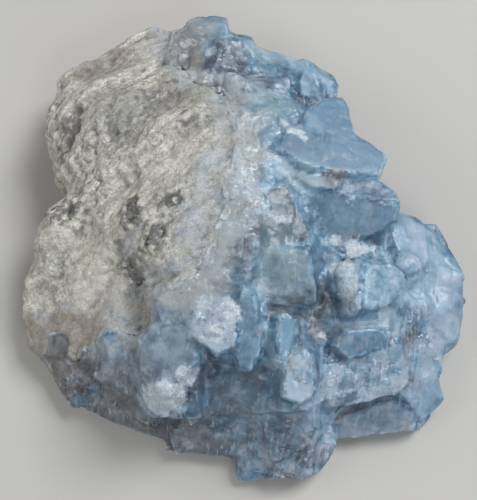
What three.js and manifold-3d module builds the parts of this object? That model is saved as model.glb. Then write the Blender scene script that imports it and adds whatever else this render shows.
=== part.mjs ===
// A celestite crystal cluster: blocky pale blue crystals grown together over the right and front of a broken
// piece of their host rock, a grey-beige marl. It lies on the flat broken underside of the rock.
// Millimetres, +Z up, +X to the right and +Y away from the viewer; the origin is under the middle of the box.
import * as THREE from "three";
import { ConvexGeometry } from "three/addons/geometries/ConvexGeometry.js";
import { ImprovedNoise } from "three/addons/math/ImprovedNoise.js";
import { mergeVertices } from "three/addons/utils/BufferGeometryUtils.js";
import Module from "manifold-3d";

const wasm = await Module();
wasm.setup();

// Driving dimensions
const STONE_HEIGHT = 46; // height of the stone's broken faces over its middle
const ROCK_DETAIL = 11; // subdivisions of the sphere that the rock's surface is drawn from
const CRUST_DETAIL = 6; // and of the one for the crystals' foot
const SEAT_GAP = 0.3; // clearance between the rock and what grows on it
const BIG = 400; // side of the block that cuts the underside flat

const noise = new ImprovedNoise();
const degrees = THREE.MathUtils.degToRad;

// Repeatable random numbers between low and high
function randomFrom(seed) {
  let state = seed;
  return (low, high) => {
    state = (state * 1664525 + 1013904223) % 4294967296;
    return low + ((high - low) * state) / 4294967296;
  };
}

// Solids

function solidOf(geometry) {
  const bare = geometry.index ? geometry.toNonIndexed() : geometry.clone();
  bare.deleteAttribute("normal");
  bare.deleteAttribute("uv");
  const merged = mergeVertices(bare, 1e-3);
  const mesh = new wasm.Mesh({
    numProp: 3,
    vertProperties: merged.attributes.position.array,
    triVerts: new Uint32Array(merged.index.array),
  });
  return new wasm.Manifold(mesh);
}

function geometryOf(solid) {
  const mesh = solid.getMesh();
  const geometry = new THREE.BufferGeometry();
  geometry.setAttribute("position", new THREE.BufferAttribute(mesh.vertProperties, 3));
  geometry.setIndex(new THREE.BufferAttribute(mesh.triVerts, 1));
  geometry.computeVertexNormals();
  return geometry;
}

const belowTable = solidOf(new THREE.BoxGeometry(BIG, BIG, BIG).translate(0, 0, -BIG / 2));

// The host rock

// The stone's widest line, anticlockwise from the left: x, y and the height at which the side is widest
const STONE_OUTLINE = [
  [-60, -19, 9],
  [-59, -6, 12],
  [-57, 4, 14],
  [-53, 12, 15],
  [-50.5, 18, 12],
  [-54, 26, 12],
  [-56, 38, 13],
  [-55.5, 53, 14],
  [-50.5, 62, 15],
  [-41, 66, 17],
  [-31, 72, 19],
  [-20, 78, 20],
  [-8, 76, 20],
  [6, 66, 20],
  [20, 58, 18],
  [27, 50, 16],
  [32, 34, 16],
  [42, 18, 15],
  [54, 4, 13],
  [58, -14, 10],
  [54, -28, 8],
  [51, -41, 6],
  [38, -45, 5],
  [22, -48, 5],
  [10, -54, 5],
  [-6, -53, 5],
  [-18, -50, 5],
  [-30, -47, 6],
  [-40, -42, 6],
  [-50.5, -36, 6],
  [-57.5, -28, 7],
];
const STONE_CENTRE = [-4, 6];
const STONE_HEART = new THREE.Vector3(...STONE_CENTRE, -4); // just under the ground
const ROCK_SIDE = new THREE.Vector3(-0.42, 0.14, 0.34); // where the bare rock shows
const CRUST_SIDE = new THREE.Vector3(0.2, -0.1, 0.2); // and where the crystals stand
const UNDERCUT = 6; // how far the foot stands in from the widest line
const SHOULDER = 2.7; // exponent of the shoulder between side and top: 2 is round, more is squarer

// Its top is a few broken faces: height at the middle, then rise for each millimetre of x and of y
const STONE_FACES = [
  [STONE_HEIGHT, 0.33, 0.06],
  [STONE_HEIGHT + 9, 0.62, 0.42],
  [STONE_HEIGHT + 2, -0.4, 0.1],
  [STONE_HEIGHT + 2, -0.1, 0.62],
  [STONE_HEIGHT + 13, 0.05, -0.5],
];
const LEAST_RISE = 1; // the top stands at least this high over the widest line

// Crystals cover what lies to the right of the first line, as y and x, and in front of the second, as x and y
const CRYSTALS_RIGHT_OF = [
  [-20, -17],
  [-8, -13],
  [16, -8],
  [34, -5],
  [46, -17],
  [80, -25],
];
const CRYSTALS_IN_FRONT_OF = [
  [-62, -32],
  [-44, -26],
  [-25, -23],
  [-13, -16],
  [0, -10],
];
const CRUST = 11; // depth of the rock under the stone's form where crystals cover it
const CRUST_DEPTH = 4.5; // depth of the crust's surface there
const CRUST_SLOPE = 0.8; // how fast it thickens in from its edge

// Hollows between the crystals: x, y, radius and depth
const HOLLOWS = [
  [21, -19, 8, 8],
  [-9, -40, 5, 7],
  [28, 14, 5, 5],
  [36, -40, 6, 4],
  [4, -33, 5, 4],
];

// Beds run from the front left to the back right, and weather into low ledges
const BED_DIRECTION = degrees(38);
const BED_THICKNESS = 15;
const BED_STEP = 2.2;

const rim = STONE_OUTLINE.map(([x, y, z]) => {
  const dx = x - STONE_CENTRE[0];
  const dy = y - STONE_CENTRE[1];
  return { angle: Math.atan2(dy, dx), reach: Math.hypot(dx, dy), height: z };
}).sort((a, b) => a.angle - b.angle);

// Reach and height of the widest line in one direction
function rimAt(angle) {
  const after = rim.findIndex((p) => p.angle > angle);
  const next = after < 0 ? 0 : after;
  const last = (next + rim.length - 1) % rim.length;
  const turn = (a) => (a + 4 * Math.PI) % (2 * Math.PI);
  const share = turn(angle - rim[last].angle) / turn(rim[next].angle - rim[last].angle);
  const mix = (key) => THREE.MathUtils.lerp(rim[last][key], rim[next][key], share);
  return { reach: mix("reach"), height: mix("height") };
}

function topFace(x, y) {
  return Math.min(...STONE_FACES.map(([z, dx, dy]) => z + dx * x + dy * y));
}

// The value at one place of a line given as pairs
function along(line, place) {
  const next = line.findIndex(([at]) => at > place);
  if (next === 0) return line[0][1];
  if (next < 0) return line[line.length - 1][1];
  const [[a, low], [b, high]] = [line[next - 1], line[next]];
  return THREE.MathUtils.mapLinear(place, a, b, low, high);
}

// How far a place is inside the ground that the crystals cover
function insideCrystals(x, y) {
  return Math.max(x - along(CRYSTALS_RIGHT_OF, y), along(CRYSTALS_IN_FRONT_OF, x) - y);
}

// A sawtooth across the beds: each bed ends in a small step down to the left
function ledge(x, y, z) {
  const across = x * Math.sin(BED_DIRECTION) - y * Math.cos(BED_DIRECTION);
  const wander = 5 * noise.noise(x / 26, y / 26, z / 26);
  const phase = (across + wander) / BED_THICKNESS;
  return BED_STEP * (phase - Math.floor(phase) - 0.5);
}

function lumps(x, y, z) {
  return (
    2.6 * noise.noise(x / 17, y / 17, z / 17) +
    1.5 * noise.noise(x / 7 + 9, y / 7, z / 7) +
    0.7 * noise.noise(x / 3.6, y / 3.6 + 5, z / 3.6)
  );
}

// The stone's whole form, sunk towards its heart and then roughened outwards, by depths that differ from
// place to place. Its finest facets are towards the side that `crowd` points to.
function stoneForm(detail, crowd, sink, roughen) {
  const sphere = new THREE.IcosahedronGeometry(1, detail);
  sphere.deleteAttribute("normal");
  sphere.deleteAttribute("uv");
  const skin = mergeVertices(sphere, 1e-5);
  const place = skin.attributes.position;
  for (let i = 0; i < place.count; i++) {
    const [sx, sy, sz] = new THREE.Vector3().fromBufferAttribute(place, i).add(crowd).normalize();
    const angle = Math.atan2(sy, sx);
    const { reach, height } = rimAt(angle);
    const out = Math.hypot(sx, sy) ** (2 / SHOULDER);
    const up = Math.abs(sz) ** (2 / SHOULDER);
    const spread = sz > 0 ? reach * out : (reach - UNDERCUT * up) * out;
    const x = STONE_CENTRE[0] + spread * Math.cos(angle);
    const y = STONE_CENTRE[1] + spread * Math.sin(angle);
    const rise = sz > 0 ? Math.max(topFace(x, y) - height, LEAST_RISE) : STONE_HEART.z - height;
    const z = height + rise * up;
    const point = new THREE.Vector3(x, y, z);
    const inward = STONE_HEART.clone().sub(point).normalize();
    point.addScaledVector(inward, sink(x, y));
    place.setXYZ(i, ...point.toArray());
  }
  skin.computeVertexNormals();
  const normal = skin.attributes.normal;
  for (let i = 0; i < place.count; i++) {
    const [x, y, z] = [place.getX(i), place.getY(i), place.getZ(i)];
    const lift = roughen(x, y, z, normal.getZ(i));
    place.setXYZ(i, x + normal.getX(i) * lift, y + normal.getY(i) * lift, z + normal.getZ(i) * lift);
  }
  return solidOf(skin).subtract(belowTable);
}

// The rock stops short of the stone's form where the crystals' foot lies on it, and is smooth there
function rockSolid(clearance) {
  const covered = (x, y) => THREE.MathUtils.clamp(insideCrystals(x, y) * CRUST_SLOPE, 0, CRUST);
  const rough = (x, y, z, level) => lumps(x, y, z) + (level > 0 ? ledge(x, y, z) : 0);
  const surface = (x, y, z, level) => rough(x, y, z, level) * (1 - covered(x, y) / CRUST) + clearance;
  return stoneForm(ROCK_DETAIL, ROCK_SIDE, covered, surface);
}

// The grown-together foot of the crystals: a knobbly crust that fills the form up again, short of the hollows
function crustSolid() {
  const bowl = (x, y, r) => Math.exp(-(x ** 2 + y ** 2) / r ** 2);
  const hollow = (x, y) => HOLLOWS.reduce((sum, [hx, hy, r, deep]) => sum + deep * bowl(x - hx, y - hy, r), 0);
  const short = (x, y) => {
    const thinning = insideCrystals(x, y) * CRUST_SLOPE;
    return THREE.MathUtils.clamp(CRUST - thinning, CRUST_DEPTH, CRUST);
  };
  const knobs = (x, y, z) =>
    2.4 * noise.noise(x / 6, y / 6 + 3, z / 6) + 1.6 * noise.noise(x / 11, y / 11, z / 11 + 7);
  return stoneForm(CRUST_DETAIL, CRUST_SIDE, (x, y) => short(x, y) + hollow(x, y), knobs);
}

// The crystals

// The flat faces of one crystal, in its own frame: +X along it, +Z out of its outer face, which lies on
// Z = 0. It is a stout block with a wedge at each end and bevelled edges, which is how celestite grows.
function crystalFaces([long, wide, thick], random, grow) {
  const faces = [];
  const face = (x, y, z, cut) => {
    const normal = new THREE.Vector3(x, y, z).normalize();
    const sideways = (Math.abs(normal.x) * long + Math.abs(normal.y) * wide) / 2;
    const distance = sideways + Math.max(0, -normal.z) * thick - cut + grow;
    faces.push({ normal, distance });
  };
  face(0, 0, 1, 0);
  face(0, 0, -1, 0);
  for (const side of [-1, 1]) {
    face(side, 0, random(0.05, 0.3), 0);
    face(0, side, random(-0.05, 0.2), 0);
    face(side, random(-0.2, 0.2), random(0.5, 1), random(0.03, 0.16) * long);
  }
  const [left, right] = [random(-1, 1) < 0 ? -1 : 1, random(-1, 1) < 0 ? -1 : 1];
  face(random(-0.15, 0.15), left, random(0.7, 1.3), random(0.06, 0.18) * wide);
  face(right, -left * random(0.6, 1.2), random(0.1, 0.7), random(0.1, 0.28) * wide);
  return faces;
}

// The solid inside a set of flat faces: its corners are where three of them meet
function solidInside(faces, place) {
  const corners = [];
  const meet = new THREE.Matrix3();
  for (let i = 0; i < faces.length; i++) {
    for (let j = i + 1; j < faces.length; j++) {
      for (let k = j + 1; k < faces.length; k++) {
        const [a, b, c] = [faces[i], faces[j], faces[k]];
        meet.set(...a.normal.toArray(), ...b.normal.toArray(), ...c.normal.toArray());
        if (Math.abs(meet.determinant()) < 1e-3) continue;
        const corner = new THREE.Vector3(a.distance, b.distance, c.distance).applyMatrix3(meet.invert());
        if (faces.every((f) => f.normal.dot(corner) < f.distance + 1e-6)) corners.push(corner);
      }
    }
  }
  return solidOf(new ConvexGeometry(corners).applyMatrix4(place));
}

// The direction that leans from straight up by `lean` degrees towards the compass direction `towards`
function leaning(lean, towards) {
  const out = new THREE.Vector3().setFromSphericalCoords(1, degrees(lean), degrees(towards));
  return out.set(out.z, out.x, out.y);
}

// One crystal. Its outer face is centred on `at` and leans by `lean` degrees towards the compass direction
// `towards`; its length runs along the direction `turn`. Directions are in degrees from +X.
function crystal({ at, towards = 0, lean = 0, turn = 0, size, seed, grow = 0 }) {
  const out = leaning(lean, towards);
  const length = new THREE.Vector3(Math.cos(degrees(turn)), Math.sin(degrees(turn)), 0);
  length.addScaledVector(out, -length.dot(out)).normalize();
  const width = out.clone().cross(length);
  const place = new THREE.Matrix4().makeBasis(length, width, out).setPosition(...at);
  return solidInside(crystalFaces(size, randomFrom(seed * 7919 + 13), grow), place);
}

// A crystal whose outer face has an outline of its own, given as corners in plan. The face leans as above and
// passes through `at`; the sides spread a little towards the foot, and the upper edges are bevelled.
function outlinedCrystal({ at, towards = 0, lean = 0, outline, thick }) {
  const out = leaning(lean, towards);
  const corners = outline.map(([x, y]) => {
    const drop = (out.x * (x - at[0]) + out.y * (y - at[1])) / out.z;
    return new THREE.Vector3(x, y, at[2] - drop);
  });
  const middle = new THREE.Vector3();
  corners.forEach((corner) => middle.addScaledVector(corner, 1 / corners.length));
  const ring = (spread, depth) =>
    corners.map((corner) => {
      const arm = corner.clone().sub(middle);
      return arm.setLength(arm.length() + spread).add(middle).addScaledVector(out, -depth);
    });
  const rings = [...ring(-EDGE_BEVEL, 0), ...ring(0, EDGE_BEVEL), ...ring(FOOT_SPREAD * thick, thick)];
  return solidOf(new ConvexGeometry(rings));
}

const EDGE_BEVEL = 0.9;
const FOOT_SPREAD = 0.12; // for each millimetre of thickness

// The plane of the large smooth crystal's face
const BACK_RIGHT_FACE = { at: [25.4, 33.5, 37], towards: 25, lean: 16, thick: 18 };

const CRYSTALS = [
  // the large smooth crystal at the back right: its upper face, its left shoulder and its tip
  {
    ...BACK_RIGHT_FACE,
    outline: [[16, 24], [18.5, 34], [23, 39], [29.5, 41], [31.5, 37], [32, 29], [32, 21], [27, 15], [19, 14]],
  },
  {
    ...BACK_RIGHT_FACE,
    outline: [[22, 27.5], [31, 29], [37.5, 25.5], [41, 21.5], [38.5, 15.5], [30, 14], [22, 14]],
  },
  {
    ...BACK_RIGHT_FACE,
    outline: [[9.5, 19.5], [12, 25.5], [16.5, 29], [23, 23.5], [22, 14], [15.5, 15.5]],
  },
  // the pale bar below it
  {
    at: [16.4, 14.5, 39],
    towards: -60,
    lean: 14,
    thick: 12,
    outline: [[8, 20.5], [11.5, 20], [23, 14.5], [27.5, 12.5], [26.5, 10], [19.5, 10], [12, 15]],
  },
  // the dark block across the middle of the right side, its upper face, and the one behind its end
  {
    at: [28.4, 4.5, 33],
    towards: -86,
    lean: 34,
    thick: 18,
    outline: [[15, 9.5], [25.5, 9.5], [43, 7], [42.5, 3.5], [36, -0.5], [26, -1], [17.5, 0.5], [14, 5]],
  },
  {
    at: [31.4, 12.5, 35],
    towards: 60,
    lean: 12,
    thick: 14,
    outline: [[24, 13], [28.5, 15], [38.5, 15], [42.5, 11.5], [43.5, 7.5], [37.5, 8], [25.5, 9]],
  },
  {
    at: [46.4, 8.5, 24],
    towards: 20,
    lean: 24,
    thick: 16,
    outline: [[44.5, 11], [49.5, 9], [53.5, 7.5], [52.5, -5.5], [45, -7.5], [41.5, -1], [41, 6]],
  },
  // broken white and blue blocks in front of it
  {
    at: [31.4, -14.5, 30],
    towards: -150,
    lean: 34,
    thick: 15,
    outline: [[26.5, -7.5], [30, -6.5], [33.5, -9], [32.5, -17.5], [30, -20.5], [26, -13]],
  },
  {
    at: [38.4, -13.5, 29],
    towards: -20,
    lean: 28,
    thick: 15,
    outline: [[32, -9], [41.5, -7], [44, -11], [42.5, -16.5], [38, -20], [30, -22]],
  },
  // milky blocks at the right
  { at: [53, 2, 18], towards: 35, lean: 28, turn: 100, size: [20, 19, 17] },
  { at: [54, -10, 16], towards: -5, lean: 30, turn: 70, size: [20, 18, 17] },
  { at: [52, -20, 13], towards: -20, lean: 30, turn: -70, size: [21, 18, 15] },
  { at: [45, -16, 22], towards: 10, lean: 20, turn: 30, size: [16, 14, 14] },
  // the middle
  { at: [9, 0, 39], towards: -60, lean: 12, turn: 20, size: [17, 16, 14] },
  { at: [11, -14, 36], towards: -90, lean: 20, turn: 5, size: [17, 14, 14] },
  { at: [2, 12, 42], towards: 60, lean: 10, turn: 40, size: [15, 13, 11] },
  { at: [-2, -10, 41], towards: -120, lean: 12, turn: 70, size: [18, 13, 12] },
  // the long narrow crystal, and the blade beside it with its two faces
  {
    at: [1.4, -26.5, 38],
    towards: -92,
    lean: 20,
    thick: 11,
    outline: [[0.5, -19.5], [4.5, -20], [5.5, -29], [5, -35.5], [3, -38.5], [0, -37.5], [-2, -33], [0, -26.5]],
  },
  {
    at: [7.4, -30.5, 33],
    towards: 180,
    lean: 30,
    thick: 10,
    outline: [[6, -24], [10.5, -23.5], [11, -32], [10.5, -37.5], [6, -34.5]],
  },
  {
    at: [12.4, -30.5, 34],
    towards: -10,
    lean: 36,
    thick: 10,
    outline: [[10, -24.5], [12.5, -23], [15, -25], [14, -31], [11, -38], [10, -34.5]],
  },
  // the pale block to its left
  {
    at: [-5.6, -27.5, 38],
    towards: -115,
    lean: 14,
    thick: 13,
    outline: [[-12.5, -22.5], [-8.5, -19.5], [-2, -20], [0.5, -25], [-0.5, -33.5], [-5.5, -35.5], [-12, -30]],
  },
  { at: [-14, -22, 37], towards: -140, lean: 14, turn: 20, size: [15, 13, 12] },
  // the frosted block that overhangs at the front left, and the duller ones beside it
  {
    at: [-17.6, -32.5, 34],
    towards: -115,
    lean: 16,
    thick: 16,
    outline: [[-25.5, -30], [-22, -26.5], [-13.5, -26.5], [-9.5, -30.5], [-10, -36], [-18, -43], [-25, -38]],
  },
  { at: [-17, -43, 26], towards: -84, lean: 52, turn: -4, size: [16, 14, 15] },
  { at: [-31, -34, 22], towards: -128, lean: 34, turn: 150, size: [17, 14, 14] },
  { at: [-28, -41, 15], towards: -112, lean: 50, turn: -20, size: [15, 12, 12] },
  { at: [-38, -33, 16], towards: -132, lean: 46, turn: -30, size: [13, 11, 11] },
  { at: [-47, -36, 10], towards: -135, lean: 46, turn: -60, size: [11, 9, 9] },
  { at: [-50, -27, 12], towards: -145, lean: 40, turn: 60, size: [11, 9, 9] },
  // the front
  { at: [1, -41, 21], towards: -88, lean: 42, turn: 0, size: [17, 16, 15] },
  {
    at: [10.4, -39.5, 33.5],
    towards: -100,
    lean: 26,
    thick: 14,
    outline: [[11, -37], [16, -33.5], [18.5, -35], [19.5, -41.5], [18, -45], [15, -46.5], [10.5, -44.5]],
  },
  { at: [17, -38, 26], towards: -20, lean: 44, turn: -80, size: [17, 10, 13] },
  { at: [24, -39, 20], towards: -70, lean: 34, turn: 15, size: [15, 13, 14] },
  {
    at: [32.4, -27.5, 25],
    towards: -60,
    lean: 26,
    thick: 12,
    outline: [[24, -29.5], [28, -25.5], [39, -24], [40, -28.5], [33, -30.5], [28.5, -33]],
  },
  { at: [36, -35, 18], towards: -85, lean: 36, turn: 16, size: [19, 14, 14] },
  { at: [49, -31, 13], towards: -55, lean: 30, turn: 40, size: [17, 15, 14] },
  { at: [51, -38, 9], towards: -50, lean: 40, turn: 40, size: [13, 12, 12] },
  { at: [37, -43, 7], towards: -92, lean: 18, turn: 6, size: [32, 11, 10] },
  { at: [14, -49, 16], towards: -90, lean: 28, turn: 20, size: [15, 13, 12] },
  { at: [6, -54, 9], towards: -112, lean: 36, turn: 10, size: [16, 15, 11] },
  { at: [18, -54, 10], towards: -66, lean: 34, turn: -20, size: [15, 15, 12] },
  { at: [-10, -50.5, 9], towards: -96, lean: 42, turn: -6, size: [19, 11, 11] },
  { at: [-23, -45, 9], towards: -110, lean: 46, turn: -20, size: [17, 11, 11] },
  { at: [-37, -40, 9], towards: -118, lean: 46, turn: -28, size: [16, 10, 10] },
  // the dark crystals at the back
  { at: [-9, 53, 34], towards: -160, lean: 26, turn: 100, size: [15, 11, 13] },
  { at: [-1, 54, 34], towards: -20, lean: 14, turn: 84, size: [17, 11, 13] },
  { at: [-2, 65, 27], towards: 85, lean: 30, turn: 20, size: [15, 13, 13] },
  { at: [-11, 73, 26], towards: 95, lean: 42, turn: 0, size: [15, 13, 11] },
  // the pale ones to their right
  { at: [7, 55.5, 31], towards: 80, lean: 16, turn: -20, size: [15, 13, 13] },
  { at: [14, 53, 31], towards: 45, lean: 24, turn: -60, size: [13, 12, 12] },
  { at: [22, 54, 26], towards: 60, lean: 34, turn: -30, size: [14, 12, 13] },
  { at: [23.2, 47.8, 29], towards: -15, lean: 30, turn: 64, size: [16, 12, 14] },
  { at: [8, 38, 39], towards: 40, lean: 10, turn: 100, size: [18, 15, 12] },
  { at: [7, 27, 41], towards: -40, lean: 8, turn: 110, size: [18, 14, 12] },
  // the back right and right flanks
  { at: [28.5, 32, 19], towards: 25, lean: 66, turn: 110, size: [18, 16, 15] },
  { at: [25.8, 46.2, 13], towards: 40, lean: 70, turn: 120, size: [19, 15, 14] },
  { at: [40, 19.5, 13], towards: 35, lean: 64, turn: 120, size: [18, 14, 13] },
  { at: [57, 9, 9], towards: 30, lean: 66, turn: 110, size: [17, 13, 12] },
  { at: [60, -7, 8], towards: 0, lean: 68, turn: 90, size: [19, 13, 12] },
  { at: [11, 64, 16], towards: 65, lean: 68, turn: 150, size: [19, 15, 14] },
];

// Grey crystals that lie apart in the rock, each in a pocket of its own: a place in plan and a turn
const ROCK_CRYSTALS = [
  { name: "rock_crystal_left", at: [-47, 9], turn: 40, size: [6, 5, 5] },
  { name: "rock_crystal_upper", at: [-28, 4], turn: 100, size: [5.5, 4.5, 5] },
  { name: "rock_crystal_right", at: [-17, 5], turn: 20, size: [5.5, 4, 5] },
  { name: "rock_crystal_middle", at: [-21.5, -4], turn: 70, size: [5.5, 4.5, 5] },
  { name: "rock_crystal_lower", at: [-27, -12], turn: 110, size: [8, 4.5, 5] },
];
const ROCK_CRYSTAL_PROUD = 0.8; // how far their outer faces stand out of the rock

// Assembly

function material(color, roughness) {
  return new THREE.MeshStandardMaterial({ color, roughness, metalness: 0, flatShading: true });
}

const marl = material(0xb5ae9f, 0.95);
const celestite = material(0x7f9db4, 0.3);
const greyCelestite = material(0x7c8084, 0.35);

// The largest body of a solid, with the small voids between crystals inside it filled. Narrow clefts close
// where their points meet, which can shut off another void, so this is repeated until none is left.
function soundBody(solid) {
  const largest = solid.decompose().sort((a, b) => b.volume() - a.volume())[0];
  const welded = solidOf(geometryOf(largest));
  return welded.decompose().length === 1 ? welded : soundBody(welded);
}

const bareRock = rockSolid(0);
const rockSkin = new THREE.Mesh(geometryOf(bareRock), marl);

// Height and normal of the rock's surface at a place in plan
function rockAt(x, y) {
  const down = new THREE.Raycaster(new THREE.Vector3(x, y, BIG), new THREE.Vector3(0, 0, -1));
  const { point, face } = down.intersectObject(rockSkin)[0];
  return { height: point.z, normal: face.normal };
}

const pieces = [];
let matrix = bareRock;
ROCK_CRYSTALS.forEach(({ name, at: [x, y], turn, size }, i) => {
  const { height, normal } = rockAt(x, y);
  const towards = THREE.MathUtils.radToDeg(Math.atan2(normal.y, normal.x));
  const lean = THREE.MathUtils.radToDeg(Math.acos(normal.z));
  const placed = { at: [x, y, height + ROCK_CRYSTAL_PROUD], towards, lean, turn, size, seed: 90 + i };
  pieces.push({ name, solid: crystal(placed), finish: greyCelestite });
  matrix = matrix.subtract(crystal({ ...placed, grow: SEAT_GAP }));
});
pieces.push({ name: "matrix", solid: matrix, finish: marl });

// The crystals are one intergrown piece with their crust; it sits in the rock with a small gap
const grown = CRYSTALS.map((entry, i) => {
  return entry.outline ? outlinedCrystal(entry) : crystal({ ...entry, seed: 1 + i });
});
const intergrown = grown
  .reduce((whole, part) => whole.add(part), crustSolid())
  .subtract(rockSolid(SEAT_GAP))
  .subtract(belowTable);
pieces.push({ name: "crystals", solid: soundBody(intergrown), finish: celestite });

// Each piece becomes a mesh, moved so that the origin is under the middle of the whole stone
const box = new THREE.Box3();
for (const { solid } of pieces) {
  box.union(new THREE.Box3().setFromBufferAttribute(geometryOf(solid).attributes.position));
}
const middle = box.getCenter(new THREE.Vector3());

const cluster = new THREE.Group();
for (const { name, solid, finish } of pieces) {
  const placed = solidOf(geometryOf(solid).translate(-middle.x, -middle.y, 0));
  const mesh = new THREE.Mesh(geometryOf(soundBody(placed)), finish);
  mesh.name = name;
  cluster.add(mesh);
}

export default cluster;
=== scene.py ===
import math
import random

import bpy
import numpy as np
from mathutils import Euler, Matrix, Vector, noise
from mathutils.bvhtree import BVHTree
from mathutils.kdtree import KDTree


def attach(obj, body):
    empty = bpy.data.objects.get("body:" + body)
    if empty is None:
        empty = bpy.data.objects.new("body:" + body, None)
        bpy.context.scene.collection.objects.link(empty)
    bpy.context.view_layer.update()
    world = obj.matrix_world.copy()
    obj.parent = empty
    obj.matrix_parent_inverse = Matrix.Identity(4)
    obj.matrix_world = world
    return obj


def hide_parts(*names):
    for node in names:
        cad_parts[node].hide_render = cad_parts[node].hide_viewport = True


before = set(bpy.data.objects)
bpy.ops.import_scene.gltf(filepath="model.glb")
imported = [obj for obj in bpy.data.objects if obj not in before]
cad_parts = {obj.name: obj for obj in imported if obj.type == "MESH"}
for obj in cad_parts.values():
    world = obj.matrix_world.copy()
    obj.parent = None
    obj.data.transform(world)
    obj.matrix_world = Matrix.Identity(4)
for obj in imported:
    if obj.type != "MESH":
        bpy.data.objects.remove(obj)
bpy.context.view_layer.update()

# Where the cluster lies: a plain pale table top under soft daylight. The main light comes from high at the
# back right, so a short shadow falls along the left and the front left.
TABLE_SIZE = 3.0
TABLE_COLOUR = (0.415, 0.40, 0.375, 1)
TABLE_ROUGHNESS = 0.85

bpy.ops.object.select_all(action="DESELECT")
bpy.ops.mesh.primitive_plane_add(size=TABLE_SIZE, location=(0, 0, 0))
table = bpy.context.object
table.name = "table_top"


# Links an input to another node's output, or gives it a plain value
def give(tree, socket, value):
    if isinstance(value, bpy.types.NodeSocket):
        tree.links.new(value, socket)
    else:
        socket.default_value = value


# Adds a node to a material or a group; an input goes by its label, or by its number as n0, n1 and so on
def add_node(tree, kind, settings=None, **inputs):
    node = tree.nodes.new(kind)
    for key, value in (settings or {}).items():
        setattr(node, key, value)
    for key, value in inputs.items():
        numbered = key[0] == "n" and key[1:].isdigit()
        give(tree, node.inputs[int(key[1:])] if numbered else node.inputs[key.replace("_", " ")], value)
    return node


def new_material(name):
    material = bpy.data.materials.new(name)
    material.use_nodes = True
    tree = material.node_tree
    return material, tree, tree.nodes["Principled BSDF"]


table_material, tree, shader = new_material("table_paint")
shader.inputs["Base Color"].default_value = TABLE_COLOUR
shader.inputs["Roughness"].default_value = TABLE_ROUGHNESS
table.data.materials.append(table_material)


def soft_light(name, place, size, power, colour):
    light = bpy.data.lights.new(name, "AREA")
    light.size = size
    light.energy = power
    light.color = colour
    lamp = bpy.data.objects.new(name, light)
    bpy.context.scene.collection.objects.link(lamp)
    lamp.location = place
    lamp.rotation_euler = (-Vector(place)).to_track_quat("-Z", "Y").to_euler()


soft_light("window", place=(0.60, 0.38, 0.93), size=0.58, power=14.0, colour=(0.96, 0.98, 1.0))
soft_light("bounce", place=(-0.9, -0.1, 0.6), size=0.8, power=4.2, colour=(1.0, 0.96, 0.90))
soft_light("sky", place=(0.35, -0.95, 0.75), size=0.5, power=5.0, colour=(0.84, 0.92, 1.0))

ROOM_COLOUR = (0.90, 0.95, 1.0, 1)
ROOM_BRIGHTNESS = 0.30

world = bpy.data.worlds.new("room")
bpy.context.scene.world = world
world.use_nodes = True
world.node_tree.nodes["Background"].inputs["Color"].default_value = ROOM_COLOUR
world.node_tree.nodes["Background"].inputs["Strength"].default_value = ROOM_BRIGHTNESS

# The camera looks steeply down on the cluster from the front, as the photograph does.
CAMERA_TARGET = Vector((-0.0014, -0.0085, 0.020))
CAMERA_DISTANCE = 0.25
CAMERA_ELEVATION = math.radians(67)
CAMERA_CLIP = 0.01
SENSOR_WIDTH = 36
FOCAL_PIXELS = 900
PHOTO_WIDTH = 477

camera_data = bpy.data.cameras.new("camera")
camera = bpy.data.objects.new("camera", camera_data)
bpy.context.scene.collection.objects.link(camera)
camera_data.sensor_fit = "HORIZONTAL"
camera_data.sensor_width = SENSOR_WIDTH
camera_data.lens = SENSOR_WIDTH * FOCAL_PIXELS / PHOTO_WIDTH
camera_data.clip_start = CAMERA_CLIP
away = Vector((0, -math.cos(CAMERA_ELEVATION), math.sin(CAMERA_ELEVATION)))
camera.location = CAMERA_TARGET + away * CAMERA_DISTANCE
camera.rotation_euler = (-away).to_track_quat("-Z", "Y").to_euler()
bpy.context.scene.camera = camera
bpy.context.scene.view_settings.view_transform = "Standard"


# The host rock: a broken and weathered piece of grey-beige marl.
# Its beds run from the front left to the back right and show as streaks and low ridges; towards the
# crystals it turns whitish and granular, and dark pits open in its upper left face.
ROCK_VOXEL = 0.00065
BED_ANGLE = math.radians(38)
BED_STRETCH = 7
MM = 0.001


# A refined copy of a CAD node, with what has grown onto it: joined and drawn again as a fine even skin
def fine_copy(node_name, piece_name, voxel, grown_on=()):
    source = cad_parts[node_name]
    piece = bpy.data.objects.new(piece_name, source.data.copy())
    bpy.context.scene.collection.objects.link(piece)
    piece.data.materials.clear()
    bpy.ops.object.select_all(action="DESELECT")
    piece.select_set(True)
    bpy.context.view_layer.objects.active = piece
    bpy.ops.object.mode_set(mode="EDIT")
    bpy.ops.mesh.select_all(action="SELECT")
    bpy.ops.mesh.remove_doubles(threshold=1e-6)
    bpy.ops.object.mode_set(mode="OBJECT")
    if grown_on:
        for extra in grown_on:
            extra.select_set(True)
        bpy.ops.object.join()
    piece.data.remesh_voxel_size = voxel
    piece.data.use_remesh_fix_poles = False
    bpy.ops.object.voxel_remesh()
    return piece


def points_of(piece):
    flat = np.empty(len(piece.data.vertices) * 3, np.float32)
    piece.data.vertices.foreach_get("co", flat)
    return flat.reshape(-1, 3).astype(float) / MM


def move_points(piece, points):
    piece.data.vertices.foreach_set("co", (points * MM).astype(np.float32).ravel())
    piece.data.update()


def outward(piece):
    flat = np.empty(len(piece.data.vertices) * 3, np.float32)
    piece.data.vertex_normals.foreach_get("vector", flat)
    return flat.reshape(-1, 3).astype(float)


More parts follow.
